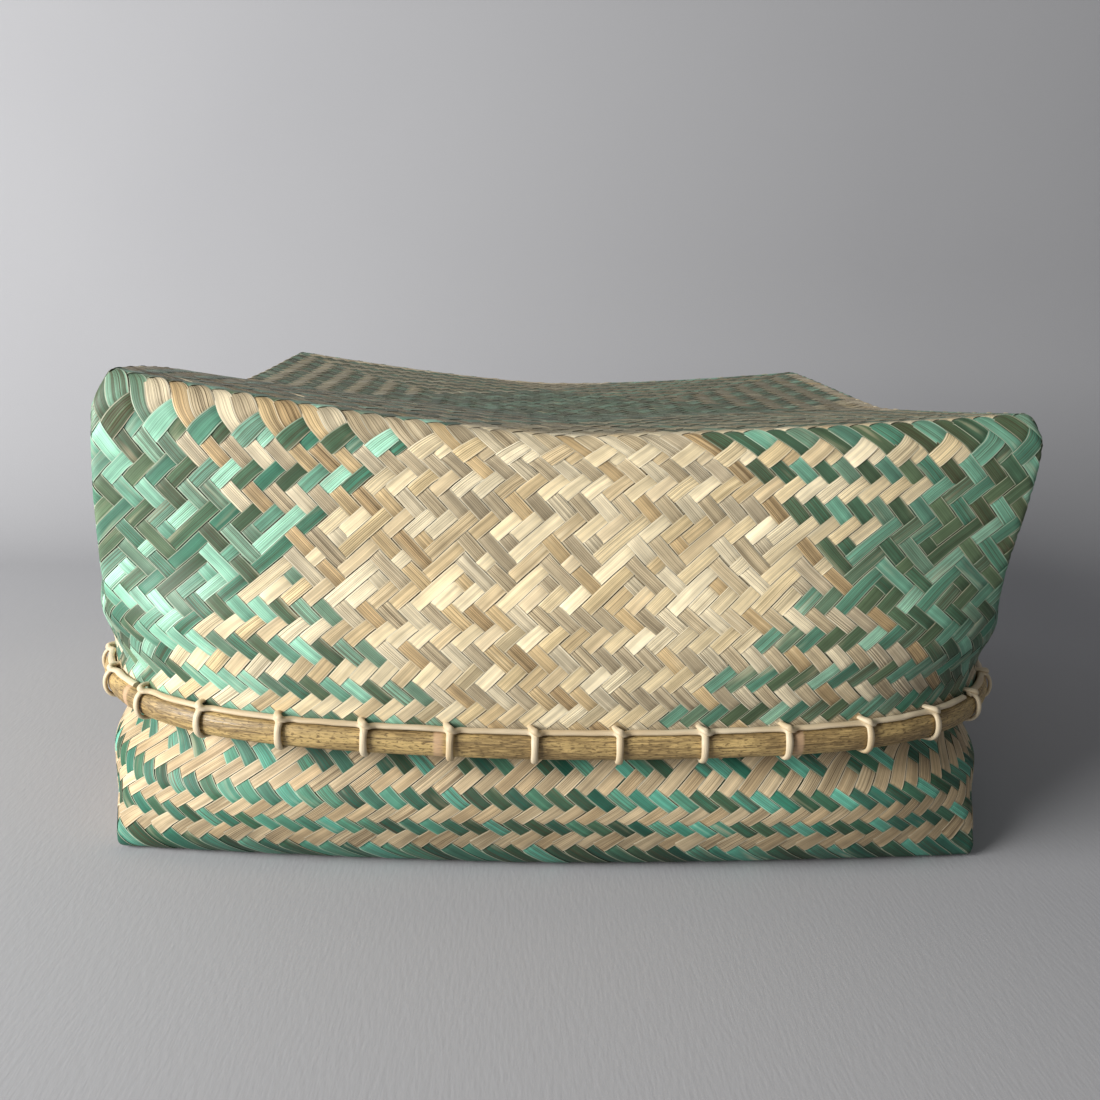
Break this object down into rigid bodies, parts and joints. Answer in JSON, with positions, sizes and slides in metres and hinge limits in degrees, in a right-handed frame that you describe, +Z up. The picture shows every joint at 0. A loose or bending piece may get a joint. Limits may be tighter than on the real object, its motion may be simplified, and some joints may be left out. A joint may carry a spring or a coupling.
{
  "type": "lidded bamboo box",
  "caption": "Square lidded box plaited from split bamboo: a deep lid with raised horn corners slips over the base, and hoops lashed with rattan stiffen both rims.",
  "frame": {"origin": "middle of the base's underside, where the closed box rests on the floor", "axes": "+X to the right of the pictured front, +Y to the back, +Z up along the way the lid lifts off"},
  "size_m": [0.352, 0.352, 0.165],
  "materials": {
    "green_weave": "split bamboo, green dyed and natural strips in twill, satin",
    "natural_weave": "natural split bamboo plait, satin",
    "split_bamboo": "half-round split bamboo, mottled skin, low sheen",
    "inner_bamboo": "flat split bamboo, unpolished",
    "rattan": "pale rattan cane, satin"
  },
  "bodies": {
    "base": {"base_weave": "green_weave", "base_lining": "natural_weave", "base_outer_hoop": "split_bamboo", "base_inner_hoop": "inner_bamboo", "base_lashing_front": "rattan", "base_lashing_right": "rattan", "base_lashing_back": "rattan", "base_lashing_left": "rattan"},
    "lid": {"lid_weave": "green_weave", "lid_lining": "natural_weave", "lid_outer_hoop": "split_bamboo", "lid_inner_hoop": "inner_bamboo", "lid_lashing_front": "rattan", "lid_lashing_right": "rattan", "lid_lashing_back": "rattan", "lid_lashing_left": "rattan"}
  },
  "joints": [
    {"name": "lid_lift", "type": "slide", "parent": "base", "child": "lid", "axis": [0, 0, 1], "range_m": [0, 0.12]}
  ]
}
